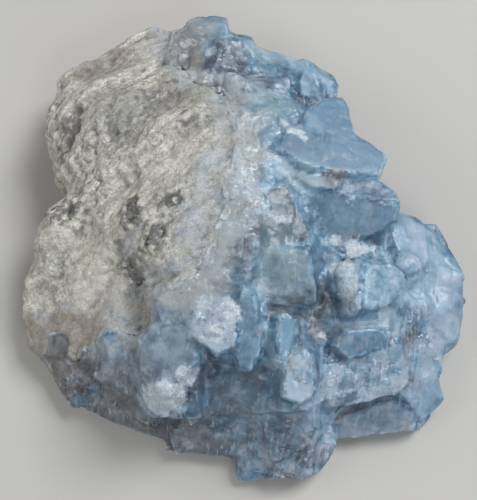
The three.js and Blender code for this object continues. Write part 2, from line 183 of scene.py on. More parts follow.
# Points, or values of points, pulled towards the middle of their neighbours, as a worn surface is
def worn(piece, points, rounds, share=0.5):
    edges = np.empty(len(piece.data.edges) * 2, np.int32)
    piece.data.edges.foreach_get("vertices", edges)
    a, b = edges.reshape(-1, 2).T
    count = len(points)
    meeting = np.bincount(a, minlength=count) + np.bincount(b, minlength=count)
    out = points.copy()
    for _ in range(rounds):
        for axis in range(out.shape[1]):
            total = np.bincount(a, out[b, axis], count) + np.bincount(b, out[a, axis], count)
            out[:, axis] += share * (total / meeting - out[:, axis])
    return out


def wavy(points, size, shift=0.0):
    return np.array([noise.noise((x, y, z)) for x, y, z in (points / size + shift).tolist()])


# Small broken facets: each cell of a scattered pattern is a flat face with a tilt of its own.
# Gives a height for each point, in cell sizes, and a random value for its cell.
def broken(points, size, shift=0.0):
    heights, cells = [], []
    for place in (points / size + shift).tolist():
        near = noise.voronoi(place)[1][0]
        tilt = noise.cell_vector(Vector(near) * 7.31)
        offset = Vector(place) - near
        heights.append(offset.dot(Vector((tilt[0] - 0.5, tilt[1] - 0.5, tilt[2] - 0.5))))
        cells.append(tilt[0])
    return np.array(heights), np.array(cells)


def soft_step(low, high, value):
    share = np.clip((value - low) / (high - low), 0, 1)
    return share * share * (3 - 2 * share)


# How strongly each point lies in a set of places, given as x, y, z, radius and strength
def in_places(points, places):
    total = np.zeros(len(points))
    for x, y, z, radius, strength in places:
        distance = np.linalg.norm(points - (x, y, z), axis=1) / radius
        total = np.maximum(total, strength * soft_step(1.0, 0.35, distance))
    return total


def write_attribute(piece, name, values):
    layer = piece.data.attributes.new(name, "FLOAT", "POINT")
    layer.data.foreach_set("value", values.astype(np.float32))


# The smooth form of the whole stone, over rock and crystals alike
def whole_stone(voxel, rounds):
    bpy.ops.object.select_all(action="DESELECT")
    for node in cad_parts.values():
        copy = bpy.data.objects.new("stone_part", node.data.copy())
        bpy.context.scene.collection.objects.link(copy)
        copy.select_set(True)
        bpy.context.view_layer.objects.active = copy
    bpy.ops.object.join()
    stone = bpy.context.object
    stone.data.remesh_voxel_size = voxel
    bpy.ops.object.voxel_remesh()
    points = worn(stone, points_of(stone), rounds)
    skin = BVHTree.FromPolygons(points.tolist(), [tuple(face.vertices) for face in stone.data.polygons])
    bpy.data.objects.remove(stone)
    return skin


def skin_of(node_name):
    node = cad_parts[node_name]
    points = np.array([vertex.co for vertex in node.data.vertices]) / MM
    return BVHTree.FromPolygons(points.tolist(), [tuple(face.vertices) for face in node.data.polygons])


def distance_to(skin, points):
    return np.array([skin.find_nearest(point)[3] for point in points.tolist()])


SEAM_DEPTH = 6.0
SEAM_REACH = 8.0


# Draws the points near a seam towards the stone's smooth form, so that rock and crystals flow into one
# another
def flow_together(points, facing, seam_distance, reach):
    share = soft_step(reach, 0.15 * reach, seam_distance)
    for i in np.nonzero(share > 0)[0]:
        place, normal, _, gap = stone_skin.find_nearest(points[i])
        if gap < SEAM_DEPTH and normal.dot(Vector(facing[i])) > 0.2:
            points[i] += share[i] * (np.array(place) - points[i])
    return points


stone_skin = whole_stone(0.001, 25)
crystal_skin = skin_of("crystals")
stub_skins = [skin_of(name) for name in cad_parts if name.startswith("rock_crystal")]

rock = fine_copy("matrix", "host_rock", ROCK_VOXEL)
rock_points = worn(rock, points_of(rock), 3)
move_points(rock, rock_points)
to_crystals = distance_to(crystal_skin, rock_points)
to_stubs = np.min([distance_to(skin, rock_points) for skin in stub_skins], axis=0)

# How far under the crystals each point lies: 0 on the bare rock, 1 beneath them, about 0.5 at their edge
COVER_GAP = 1.5
COVER_HEIGHT = 20.0
COVER_ROUNDS = 30

covered = np.zeros((len(rock_points), 1))
for i, facing in enumerate(outward(rock)):
    if to_crystals[i] < COVER_GAP:
        hit = crystal_skin.ray_cast(Vector(rock_points[i]), Vector(facing), COVER_HEIGHT)[0]
        covered[i] = 1.0 if hit else 0.0
covered = worn(rock, covered, COVER_ROUNDS)[:, 0]
well_under = 20 * soft_step(0.80, 0.95, covered)
rock_points = flow_together(rock_points, outward(rock), to_crystals + well_under, SEAM_REACH)
move_points(rock, rock_points)

along = rock_points[:, 0] * math.cos(BED_ANGLE) + rock_points[:, 1] * math.sin(BED_ANGLE)
across = rock_points[:, 0] * math.sin(BED_ANGLE) - rock_points[:, 1] * math.cos(BED_ANGLE)
bedded = np.stack([along / BED_STRETCH, across, rock_points[:, 2]], axis=1)

# Lists of places: x, y and z in millimetres, radius and strength
WHITE_STREAKS = [
    (-32, -15, 35, 7, 0.75),
    (-38, -19, 31, 6, 0.6),
    (-14, -6, 41, 6, 0.8),
    (-15, -13, 40, 6, 0.7),
    (-26, -24, 27, 7, 0.7),
]
# The lower left rim, where rock and crystals are both duller, with less of the white crust
DULL_RIM = [
    (-50, -34, 12, 15, 1.0),
    (-40, -37, 18, 12, 0.8),
    (-57, -26, 8, 9, 0.8),
]
border = to_crystals + 4.0 * wavy(rock_points, 5.0)
granular = soft_step(11.0, 1.5, border) * (1 - 0.5 * in_places(rock_points, DULL_RIM))
streaked = rock_points + 2.0 * wavy(bedded, 3.0, 8.0)[:, None]
granular = np.maximum(granular, in_places(streaked, WHITE_STREAKS))

ROCK_PITS = [
    (-48, 31, 29, 3.2, 1.0),
    (-50, 22, 26, 3.6, 1.0),
    (-46.5, 25, 28, 2.4, 0.9),
    (-44, 40, 29, 2.4, 0.6),
    (-52.5, 9, 14, 5.0, 1.0),
]
# Places where the crystals' wall stands off the rock and the crust has closed the gap
CLOSED_GAPS = [
    (-12, 34, 34, 9, 1.0),
    (-6, 34, 36, 8, 1.0),
    (-17, 37, 31, 8, 1.0),
    (-18.5, 52, 25, 7, 0.9),
]
BED_HEIGHT = 0.45
FINE_BED_HEIGHT = 0.30
WAVE_HEIGHT = 0.35
FINE_WAVE_HEIGHT = 0.25
FACET_SIZE = 3.4
FACET_HEIGHT = 0.45
GRAIN_SIZE = 1.9
GRAIN_HEIGHT = 0.7
SMALL_PIT_DEPTH = 0.5
CREASE_DEPTH = 0.25
PIT_DEPTH = 2.0
SWELLING_HEIGHT = 3.6
GAP_HEIGHT = 2.6

pits = in_places(rock_points, ROCK_PITS)
facets, _ = broken(rock_points, FACET_SIZE)
grains, _ = broken(rock_points, GRAIN_SIZE, 5.0)
plateau = soft_step(-0.25, 0.25, wavy(rock_points, 16.0, 3.0) + 0.02 * (rock_points[:, 1] - 12))
small_pits = soft_step(0.25, 0.55, wavy(rock_points, 1.7, 31.0)) * plateau * (1 - granular)
creases = soft_step(0.12, 0.0, np.abs(wavy(bedded, 4.2, 5.0)))
creases = creases * soft_step(-0.1, 0.25, wavy(rock_points, 9.0, 17.0))
relief = (
    BED_HEIGHT * wavy(bedded, 3.0)
    + FINE_BED_HEIGHT * wavy(bedded, 1.3, 11.0)
    + WAVE_HEIGHT * wavy(rock_points, 6.0, 2.0)
    + FINE_WAVE_HEIGHT * wavy(rock_points, 1.7, 7.0)
    + FACET_HEIGHT * facets * (1 - granular)
    + GRAIN_HEIGHT * grains * granular
    - SMALL_PIT_DEPTH * small_pits
    - CREASE_DEPTH * creases
    - PIT_DEPTH * pits
)
# The left flank swells out a little further than the coarse form
LEFT_SWELLING = [
    (-52, -2, 18, 11, 1.0),
]
relief += SWELLING_HEIGHT * in_places(rock_points, LEFT_SWELLING)
above_ground = soft_step(0.2, 2.5, rock_points[:, 2])
closing = (
    0.6 * soft_step(2.2, 0.5, to_crystals)
    + 1.3 * soft_step(2.0, 0.3, to_stubs)
    + GAP_HEIGHT * in_places(rock_points, CLOSED_GAPS)
)

# Under the crystals the rock keeps its plain form and sinks a little, behind a wandering line
LINE_SLANT = 0.12
ragged = wavy(rock_points, 6.0, 41.0) + 0.6 * wavy(rock_points, 2.2, 43.0)
right_side = rock_points[:, 0] - LINE_SLANT * rock_points[:, 1] + 8.0 * ragged
under = np.maximum(
    soft_step(0.80, 0.97, covered + 1.2 * covered * (1 - covered) * ragged),
    soft_step(3.0, 8.0, right_side),
)
sinking = 0.5 * soft_step(3.0, 8.0, right_side) + 0.1 * under
rock_points += outward(rock) * ((relief + closing) * above_ground * (1 - under) - sinking)[:, None]
rock_points[:, 2] = np.maximum(rock_points[:, 2], 0)
move_points(rock, rock_points)
# How far each point lies below its worn neighbours, in millimetres; the material darkens these sunk places as
# painted shade
sunk = np.einsum("ij,ij->i", worn(rock, rock_points, 12) - rock_points, outward(rock))
write_attribute(rock, "granular", granular)
write_attribute(rock, "sunk", sunk)
OLIVE_PATCHES = [
    (-12, 34, 40, 15, 1.0),
    (-8, 22, 43, 8, 0.5),
    (-40, 50, 24, 14, 0.6),
    (-34, 27, 36, 15, 0.6),
    (-21, 30, 39, 14, 0.4),
    (-13, 20, 43, 8, 0.5),
]
write_attribute(rock, "olive", in_places(rock_points, OLIVE_PATCHES))
CHALKY_PATCHES = [
    (-37, -22, 25, 18, 0.9),
    (-46, -4, 24, 13, 0.7),
    (-33, -6, 34, 10, 0.5),
    (-56, 10, 14, 9, 0.5),
]
write_attribute(rock, "chalky", in_places(rock_points, CHALKY_PATCHES))
# Pits, small pits and creases; the material darkens them as painted shade in the hollows
write_attribute(rock, "pits", np.maximum(pits, 0.55 * np.maximum(small_pits, 0.4 * creases)))

GREY_STAINS = [
    (-47, 1, 23, 3.5, 0.8),
    (-29, -6, 36, 5.0, 0.9),
    (-18, -3, 39, 5.5, 0.8),
    (-22, -12, 36, 6.5, 1.0),
    (-27, -18, 33, 5.0, 0.7),
    (-33, -13, 33, 3.5, 0.7),
    (-36, -19, 29, 3.0, 0.6),
    (-36, 22, 34, 11.0, 0.4),
    (-24, 30, 36, 13, 0.45),
    (-14, 21, 43, 9, 0.40),
    (-33, 36, 34, 9, 0.35),
    (-49, 27, 27, 7.0, 0.6),
    (-51, 20, 23, 7.0, 0.5),
]
around_stubs = 0.5 * soft_step(3.2, 0.3, to_stubs + 1.5 * wavy(rock_points, 2.5, 19.0))
write_attribute(rock, "stain", np.maximum(in_places(rock_points, GREY_STAINS), around_stubs))
# The rock is painted darker and browner low at the front left and at the back left
FRONT_LEFT_DARKER_BROWN = [
    (-58, -30, 6, 13, 0.8),
    (-50, -40, 6, 12, 0.9),
    (-50, -30, 13, 9, 0.9),
    (-43, -32, 16, 9, 0.8),
    (-56, -12, 8, 12, 0.5),
    (-44, 53, 20, 14, 0.5),
]
write_attribute(rock, "darker_brown", in_places(rock_points, FRONT_LEFT_DARKER_BROWN))


def new_group(name, inputs, outputs):
    group = bpy.data.node_groups.new(name, "ShaderNodeTree")
    for label, kind, default in inputs:
        socket = group.interface.new_socket(label, in_out="INPUT", socket_type="NodeSocket" + kind)
        if default is not None:
            socket.default_value = default
    for label, kind in outputs:
        group.interface.new_socket(label, in_out="OUTPUT", socket_type="NodeSocket" + kind)
    return group, group.nodes.new("NodeGroupInput"), group.nodes.new("NodeGroupOutput")


def place_group(tree, group, **inputs):
    node = tree.nodes.new("ShaderNodeGroup")
    node.node_tree = group
    for key, value in inputs.items():
        give(tree, node.inputs[key.replace("_", " ")], value)
    return node


# Tiny broken grains, as a height and a random value for each grain
grain_group, given, result = new_group(
    "broken_grains",
    [("Vector", "Vector", None), ("Scale", "Float", 1.0)],
    [("Height", "Float"), ("Value", "Float")],
)
place = given.outputs["Vector"]
cells = add_node(grain_group, "ShaderNodeTexVoronoi", Vector=place, Scale=given.outputs["Scale"])
offset = add_node(
    grain_group, "ShaderNodeVectorMath", {"operation": "SUBTRACT"}, n0=place, n1=cells.outputs["Position"]
)
chance = cells.outputs["Color"]
tilt = add_node(grain_group, "ShaderNodeVectorMath", {"operation": "SUBTRACT"}, n0=chance, n1=(0.5, 0.5, 0.5))
height = add_node(
    grain_group,
    "ShaderNodeVectorMath",
    {"operation": "DOT_PRODUCT"},
    n0=offset.outputs[0],
    n1=tilt.outputs[0],
)
value = add_node(grain_group, "ShaderNodeSeparateColor", Color=chance)
grain_group.links.new(height.outputs["Value"], result.inputs["Height"])
grain_group.links.new(value.outputs["Red"], result.inputs["Value"])


def attribute(tree, name):
    return add_node(tree, "ShaderNodeAttribute", {"attribute_name": name}).outputs["Fac"]


def mix_colour(tree, factor, first, second, blend="MIX"):
    node = add_node(tree, "ShaderNodeMix", {"data_type": "RGBA", "blend_type": blend})
    for socket, value in ((node.inputs[0], factor), (node.inputs[6], first), (node.inputs[7], second)):
        give(tree, socket, value)
    return node.outputs[2]


def ranged(tree, value, low, high, to_low=0.0, to_high=1.0):
    return add_node(tree, "ShaderNodeMapRange", n0=value, n1=low, n2=high, n3=to_low, n4=to_high).outputs[0]


# A share of 0 to 1 taken to lie between two values
def between(tree, share, low, high):
    return ranged(tree, share, 0, 1, low, high)


# A cloudy pattern, most of which lies between 0.3 and 0.7, spread between two values
def spread(tree, clouds, low, high):
    return ranged(tree, clouds, 0.3, 0.7, low, high)


def plus(tree, first, second):
    return add_node(tree, "ShaderNodeMath", {"operation": "ADD"}, n0=first, n1=second).outputs[0]


def times(tree, first, second):
    return add_node(tree, "ShaderNodeMath", {"operation": "MULTIPLY"}, n0=first, n1=second).outputs[0]


# A patch given by an attribute, its edge frayed by a cloudy pattern
def frayed(tree, name, clouds, low, high):
    return plus(tree, attribute(tree, name), spread(tree, clouds, low, high))


# Heights laid over one another, each with its weight
def laid_over(tree, first, *others):
    total = times(tree, first[1], first[0])
    for weight, height in others:
        total = plus(tree, total, times(tree, height, weight))
    return total


# Object coordinates in millimetres, turned so that the first runs along the beds
def millimetres(tree, turn=0.0, stretch=(1, 1, 1)):
    coordinates = add_node(tree, "ShaderNodeTexCoord").outputs["Object"]
    turned = add_node(
        tree, "ShaderNodeMapping", {"vector_type": "POINT"}, Vector=coordinates, Rotation=(0, 0, turn)
    )
    scale = tuple(share / MM for share in stretch)
    scaled = add_node(tree, "ShaderNodeVectorMath", {"operation": "MULTIPLY"}, n0=turned.outputs[0], n1=scale)
    return scaled.outputs[0]


def cloudy(tree, vector, scale, detail=4.0, roughness=0.55):
    inputs = {"Vector": vector, "Scale": scale, "Detail": detail, "Roughness": roughness}
    return add_node(tree, "ShaderNodeTexNoise", **inputs).outputs["Fac"]


# The crust in which rock and crystals grow into one another: cloudy white, beige and blue-grey
CRUST_WHITE = (0.46, 0.485, 0.50, 1)
CRUST_BEIGE = (0.375, 0.36, 0.33, 1)
CRUST_BLUE = (0.25, 0.31, 0.37, 1)

crust_group, given, result = new_group("grown_crust", [("Vector", "Vector", None)], [("Color", "Color")])
place = given.outputs["Vector"]
beige = ranged(crust_group, cloudy(crust_group, place, 0.17, 5, 0.6), 0.4, 0.62)
blueness = ranged(crust_group, cloudy(crust_group, place, 0.28, 6, 0.65), 0.50, 0.68)
colour = mix_colour(crust_group, beige, CRUST_WHITE, CRUST_BEIGE)
colour = mix_colour(crust_group, blueness, colour, CRUST_BLUE)
crust_group.links.new(colour, result.inputs["Color"])

ROCK_PALE = (0.735, 0.705, 0.63, 1)
ROCK_MID = (0.425, 0.41, 0.365, 1)
ROCK_DARK = (0.16, 0.158, 0.145, 1)
ROCK_STAIN_AND_SHADE = (0.20, 0.195, 0.187, 1)
ROCK_DARKER_BROWN = (0.26, 0.225, 0.185, 1)
ROCK_OLIVE = (0.30, 0.297, 0.262, 1)

GRIT_DARK = (0.74, 0.735, 0.72, 1)
GRIT_LIGHT = (1.16, 1.16, 1.16, 1)
ROCK_BUMP_DEPTH = 0.0005

rock_material, tree, shader = new_material("marl")
plain = millimetres(tree)
streaky = millimetres(tree, -BED_ANGLE, (0.12, 1, 1))
streaks = ranged(tree, cloudy(tree, streaky, 0.55, 6, 0.62), 0.38, 0.62)
patches = ranged(tree, cloudy(tree, plain, 0.09, 3), 0.35, 0.65)
speckle = ranged(tree, cloudy(tree, plain, 1.1, 6, 0.7), 0.44, 0.60)
colour = mix_colour(tree, streaks, ROCK_MID, ROCK_PALE)
olive = frayed(tree, "olive", cloudy(tree, plain, 0.3, 4), -0.5, 0.2)
colour = mix_colour(tree, ranged(tree, olive, 0.0, 0.6, 0.0, 0.8), colour, ROCK_OLIVE)
colour = mix_colour(tree, times(tree, speckle, between(tree, patches, 0.24, 0.72)), colour, ROCK_DARK)
chalk = frayed(tree, "chalky", cloudy(tree, streaky, 0.5, 5, 0.6), -0.5, 0.3)
colour = mix_colour(tree, ranged(tree, chalk, 0, 0.8, 0, 0.6), colour, ROCK_PALE)
white = ranged(tree, frayed(tree, "granular", cloudy(tree, plain, 0.4, 5), -0.45, 0.25), 0.0, 0.6)
colour = mix_colour(tree, white, colour, place_group(tree, crust_group, Vector=plain).outputs["Color"])
stain = frayed(tree, "stain", cloudy(tree, plain, 0.45, 4), -0.75, 0.15)
colour = mix_colour(tree, ranged(tree, stain, 0.0, 0.35), colour, ROCK_STAIN_AND_SHADE)
# Darker and browner at the front left and low on the left
darker_brown = frayed(tree, "darker_brown", cloudy(tree, plain, 0.3, 4), -0.5, 0.2)
colour = mix_colour(tree, ranged(tree, darker_brown, 0.0, 0.5, 0.0, 0.75), colour, ROCK_DARKER_BROWN)
grit = ranged(tree, cloudy(tree, plain, 2.3, 4, 0.7), 0.35, 0.65)
colour = mix_colour(tree, 1.0, colour, mix_colour(tree, grit, GRIT_DARK, GRIT_LIGHT), "MULTIPLY")
# Painted shade: the sunk places between the beds and lumps are darkened
colour = mix_colour(tree, ranged(tree, attribute(tree, "sunk"), 0.05, 0.45, 0, 0.75), colour, ROCK_DARK)
# Painted shade: the pits and creases are darkened with the stain colour
colour = mix_colour(tree, ranged(tree, attribute(tree, "pits"), 0.2, 0.9, 0, 0.8), colour, ROCK_STAIN_AND_SHADE)
tree.links.new(colour, shader.inputs["Base Color"])

rough_height = laid_over(
    tree,
    (1.0, cloudy(tree, plain, 1.6, 6, 0.7)),
    (0.9, place_group(tree, grain_group, Vector=plain, Scale=1.1).outputs["Height"]),
    (0.8, cloudy(tree, streaky, 1.1, 5, 0.6)),
    (0.8, place_group(tree, grain_group, Vector=plain, Scale=2.6).outputs["Height"]),
)
bump = add_node(tree, "ShaderNodeBump", Height=rough_height, Strength=0.9, Distance=ROCK_BUMP_DEPTH)
tree.links.new(bump.outputs[0], shader.inputs["Normal"])
tree.links.new(between(tree, white, 0.9, 0.5), shader.inputs["Roughness"])

rock.data.materials.append(rock_material)
bpy.ops.object.shade_smooth()
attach(rock, "root")
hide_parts("matrix")


# The celestite: blocky crystals grown into one another and into their own crystalline crust.
# Some are smooth and clear, some milky or broken to white sugary grains; their edges are worn.
CRYSTAL_VOXEL = 0.00068

# Lists of places again: x, y and z in millimetres, radius and strength.
# Crystals that are broken or sugary; the others keep their flat faces
BROKEN = [
    (28, -13, 33, 7, 1.0),
    (40, -13, 29, 6, 0.8),
    (28, -24, 30, 8, 0.9),
    (-18, -51, 29, 9, 1.0),
    (-6, -35, 38, 8, 1.0),
    (22, -48, 20, 9, 0.8),
    (13, -47, 34, 8, 0.6),
    (33, -43, 18, 10, 1.0),
    (45, -33, 18, 10, 0.8),
    (44, -42, 13, 8, 0.6),
    (12, -64, 9, 16, 0.6),
    (-22, -56, 7, 12, 0.5),
    (20, 16, 38, 5, 0.5),
    (-42, -44, 10, 16, 0.5),
    (-6, 44, 35, 10, 0.5),
]
# Where crystals have grown into one another until hardly an edge is left
FUSED = [
    (8, -9, 39, 15, 1.0),
    (1, 0, 42, 12, 1.0),
    (-8, -8, 40, 14, 1.0),
    (7, -21, 36, 13, 1.0),
    (2, 20, 42, 11, 1.0),
    (8, 28, 40, 11, 0.9),
    (-4, 12, 42, 12, 1.0),
    (-6, 44, 35, 15, 0.8),
    (-15, 58, 27, 12, 0.9),
    (8, 48, 31, 15, 0.9),
    (20, 46, 28, 9, 0.6),
    (-16, -24, 36, 13, 1.0),
    (50, -8, 18, 16, 0.8),
    (51, -24, 14, 15, 0.9),
    (44, -36, 15, 12, 0.8),
    (-12, -60, 7, 14, 0.8),
    (-46, -38, 10, 18, 0.9),
    (-30, -44, 18, 12, 0.6),
    (20, -26, 24, 9, 0.8),
]
MILKY = [
    (50, -8, 20, 12, 0.6),
    (57, -14, 17.5, 9, 0.9),
    (44.7, -15.4, 26, 6, 0.7),
    (40, -18, 28, 5, 0.5),
    (55, -30, 14, 9, 0.9),
    (51, -22, 16, 13, 0.9),
    (49, -36, 13, 11, 0.6),
    (-7, -33, 38, 7, 0.7),
    (-4, -38, 37, 6, 0.5),
    (-14, -24, 37, 11, 0.6),
    (27, -21, 29.5, 8, 1.1),
    (14, -54, 31, 6, 0.7),
    (25, -51, 14.5, 8, 0.7),
    (5.6, -61, 11.5, 6, 0.5),
    (-9, 36, 35, 7, 0.5),
    (17, 4.5, 39.5, 4.5, 1.1),
    (11, 6.5, 40, 4, 0.9),
    (50, -24, 17, 9, 0.9),
    (10, -47, 33, 6, 0.6),
    (20, -48, 22, 8, 0.6),
    (33, -43, 19, 9, 0.6),
    (1, 0, 42, 9, 0.5),
    (-7, -8, 41, 10, 0.8),
    (-3, 12, 42, 10, 0.8),
    (18, 21.5, 39.5, 4, 0.5),
    (16, 5, 39.5, 9, 0.3),
    (7, 51, 30, 8, 0.6),
    (19, 45, 30, 6, 0.7),
    (6, 26, 41, 10, 0.5),
    (-12, 62, 24, 9, 0.5),
    (-20, -42, 33, 7, 0.4),
    (44, -17, 23, 6, 0.8),
]
SNOWY = [
    (30, -12, 28, 5, 1.1),
    (24, -10, 30, 3, 0.9),
    (36, -12, 27, 3, 0.9),
    (27, -24, 30, 5, 0.9),
    (26, -18.5, 29.5, 5, 1.0),
    (14, 18, 40.5, 3.0, 1.0),
    (16, 15, 40.3, 2.5, 1.0),
    (8.5, -8, 39, 2.4, 1.0),
    (1, 0, 42, 4.5, 0.5),
    # The frosted block at the front left: real frost, pushed whiter as a painted highlight where it glitters
    (-20, -52, 27, 8, 1.8),
    (-14, -48, 32, 5, 1.2),
    (-7, -38, 38, 3.6, 1.2),
    (-3.5, -33, 38, 4.5, 0.9),
    (-11, -31, 38, 3, 0.9),
    (12, -44, 34, 4, 0.7),
    (-8, 50, 33, 4, 0.8),
    (24, -52, 17, 5, 0.6),
    (-7, -6, 41, 6, 0.6),
    (29, 0, 34, 2.5, 0.8),
]
# Darker places: partly the crystals' own dark clear colour, partly painted shade in hollows, under overhangs
# and low at the front
DEEP_AND_SHADED = [
    (20, -26, 24, 9, 0.9),
    (-10, -62, 6, 14, 0.6),
    (8, -29, 31, 6, 0.3),
    (28, -2, 33, 13, 0.25),
    (-3, -50, 20, 11, 0.4),
    (12, -64, 9, 16, 0.7),
    (36, -52, 7, 15, 0.4),
    (-5, 44, 36, 11, 0.8),
    # The slot under the big crystal's tip: painted shade
    (25, 5, 38, 4, 0.7),
    (-22, -57, 8, 13, 0.8),
    (-36, -46, 12, 15, 0.7),
    (-9.5, -34, 38, 3.5, 0.9),
    (-2, -41, 36, 4, 0.7),
    (-19, -43, 33, 9, 0.3),
    (-7, -50, 26, 9, 0.4),
    (-48, -38, 10, 14, 1.3),
    (-36, -44, 14, 12, 0.4),
    (-6, -14, 41, 3, 0.3),
    (1, -22, 36, 4, 0.6),
    (5, -11, 39.5, 6, 0.9),
    (-47, -35, 14, 8, 0.6),
    (-38, -35, 22, 9, 0.6),
    (-30, -44, 17, 11, 0.5),
    (-32, -38.5, 24, 7, 0.5),
    (19, -34.5, 22, 6, 0.7),
]
# Painted shade inside the smooth faces: the middle of the big crystal's face
SHADED_IN_FACES = [
    (15, 10, 41, 10, 0.32),
]
# Touched with lilac, at the front and the bottom
LILAC = [
    (12, -62, 9, 24, 0.7),
    (36, -50, 10, 20, 0.7),
    (-3, -50, 20, 16, 0.6),
    (-25, -50, 14, 20, 0.5),
    (45, -34, 14, 14, 0.5),
    (20, -40, 24, 14, 0.4),
    (28, -10, 30, 5, 0.3),
    (50, -24, 16, 16, 0.4),
]
GREENISH = [
    (9, 25, 41, 10, 0.8),
    (15, 4, 39, 6.5, 0.7),
    (9, -20, 36, 10, 0.8),
    (7, 50, 30, 9, 0.7),
    (9, -8, 38, 9, 0.6),
]
GREYISH = [
    (-48, -38, 10, 16, 1.0),
    (-36, -44, 16, 14, 0.9),
    (-24, -40, 28, 14, 0.7),
    (-20, -42, 33, 9, 0.7),
    (-35, -42, 18, 12, 0.5),
    (-32, -52, 7, 17, 1.0),
    (-6, -48, 24, 12, 0.4),
    (-14, -60, 6, 16, 0.7),
    (-12, -28, 37, 15, 0.8),
    (-4, -12, 40, 16, 0.8),
    (-4, 14, 42, 14, 0.8),
    (2, 36, 38, 13, 0.6),
    (50, -26, 16, 14, 0.2),
    (44, -40, 15, 14, 0.2),
    (12, -64, 9, 16, 0.5),
    (-4, 45, 35, 11, 0.6),
    (9, -28, 33, 6, 0.9),
    (20, -26, 24, 9, 0.6),
]
# Dusty with the rock's own grey-olive
ROCKY = [
    (-19, 53, 27, 8, 1.0),
    (-14, 46, 32, 6, 0.9),
    (-14, 61, 28, 9, 0.7),
    (-11, 37, 31, 5, 0.8),
    (-14, -26, 38, 8, 0.38),
    (-17, 48, 28, 5, 0.8),
]
BROWNISH = [
    (-3, 46, 35, 5, 0.5),
    # The slot under the big crystal's tip: painted shade, brown-grey
    (24, 5.5, 38, 4, 0.9),
    (12, -28, 32, 3.5, 0.7),
    (-12, -60, 6, 10, 0.6),
    (-32, -50, 8, 13, 0.6),
    (-50, -38, 9, 12, 0.8),
    (-36, -44, 14, 10, 0.3),
    (-8, -2, 41, 8, 0.35),
    (45, -33, 18, 5, 0.4),
]
# Flat faces with a look of their own: a point near the face, how pale, how grey and how even it is
FACES = [
    ((24, 25, 37), 0.475, 0.0, 1.0),
    ((18, 1, 36), 0.45, 0.1, 0.8),
    ((30, -5, 32), 0.45, 0.1, 0.8),
    ((15, 7, 41), 0.45, 0.2, 0.7),
    ((15, 4, 38.5), 0.98, 0.4, 0.5),
    ((11, 6, 39), 0.90, 0.5, 0.4),
    ((17.5, 3.3, 38), 0.94, 0.3, 0.6),
    ((36.5, 2.7, 34.5), 0.40, 0.1, 0.7),
    ((29, 5, 35), 0.62, 0.0, 0.6),
    ((41, -7, 26.5), 0.64, 0.2, 0.5),
    ((24, -12.5, 29.3), 0.52, 0.2, 0.5),
    # The face in the deep recess: its very low paleness is partly the crystal's own dark, partly painted
    # shade
    ((20, -25, 24), 0.05, 0.7, 0.5),
    ((12, -28, 32), 0.60, 0.6, 0.3),
    ((5.4, -21, 36.5), 0.60, 0.5, 0.3),
    ((9, -8.7, 38.8), 0.36, 0.6, 0.3),
    ((34, -27, 29.6), 0.62, 0.0, 0.3),
    ((27, -26.7, 29.5), 0.95, 0.3, 0.2),
    ((0, -35, 38), 0.53, 0.2, 0.6),
    ((6, -39, 33), 0.43, 0.6, 0.9),
    ((11, -39, 34), 0.63, 0.0, 0.9),
    ((-7, -36, 38), 0.90, 0.4, 0.0),
    ((-19, -41, 34), 0.53, 0.7, 0.4),
    ((-9, -48, 28), 0.38, 0.3, 0.6),
    ((-1, -48.6, 21.8), 0.39, 0.5, 0.4),
    ((12.5, -46, 35), 0.90, 0.0, 0.0),
    ((30, -37, 24.6), 0.48, 0.0, 0.6),
    ((28, -44, 21), 0.78, 0.2, 0.2),
    ((41, -42, 18.4), 0.82, 0.1, 0.2),
    ((34, -50.5, 7.3), 0.56, 0.5, 0.6),
    ((51, -48, 7.4), 0.66, 0.1, 0.4),
]

# The ground under the crystals: the finished rock's own surface. It dips under the rock on the bare side and
# rises out of it along a wandering line, so that no gap and no straight border is left.
GROUND_DIP = 0.5
GROUND_RISE = 1.7
GROUND_EDGE = -4.0

ground = bpy.data.objects.new("crystal_ground", rock.data.copy())
bpy.context.scene.collection.objects.link(ground)
ground.data.materials.clear()
rise = GROUND_RISE * soft_step(2.0, 7.0, right_side) - GROUND_DIP
move_points(ground, rock_points + outward(rock) * rise[:, None])
bpy.ops.object.select_all(action="DESELECT")
ground.select_set(True)
bpy.context.view_layer.objects.active = ground
bpy.ops.object.mode_set(mode="EDIT")
bpy.ops.mesh.select_all(action="SELECT")
bpy.ops.mesh.bisect(
    plane_co=(GROUND_EDGE * MM, 0, 0), plane_no=(1, -LINE_SLANT, 0), use_fill=True, clear_inner=True
)
bpy.ops.object.mode_set(mode="OBJECT")

# A lump of crust that fills the notch in the top seam
LUMP_PLACE = (-16.9, 48.6, 24.9)
LUMP_RADIUS = 5.0

lump_place = [value * MM for value in LUMP_PLACE]
bpy.ops.mesh.primitive_ico_sphere_add(subdivisions=3, radius=LUMP_RADIUS * MM, location=lump_place)
lump = bpy.context.object
bpy.ops.object.transform_apply(location=True, rotation=True, scale=True)

crystals = fine_copy("crystals", "intergrown_crystals", CRYSTAL_VOXEL, [ground, lump])
crystal_points = points_of(crystals)
bare_rock = rock_points[(covered < 0.3) & (rock_points[:, 0] - LINE_SLANT * rock_points[:, 1] < 2.0)]
rock_tree = KDTree(len(bare_rock))
for i, point in enumerate(bare_rock.tolist()):
    rock_tree.insert(point, i)
rock_tree.balance()
to_bare_rock = np.array([rock_tree.find(point)[2] for point in crystal_points.tolist()])

# Creases fill up, and edges wear away a little; where crystals have fused, both go much further
CREASE_FILLING = 0.75
FUSED_FILLING = 0.22
EDGE_WEAR = 0.04
FUSED_WEAR = 0.76

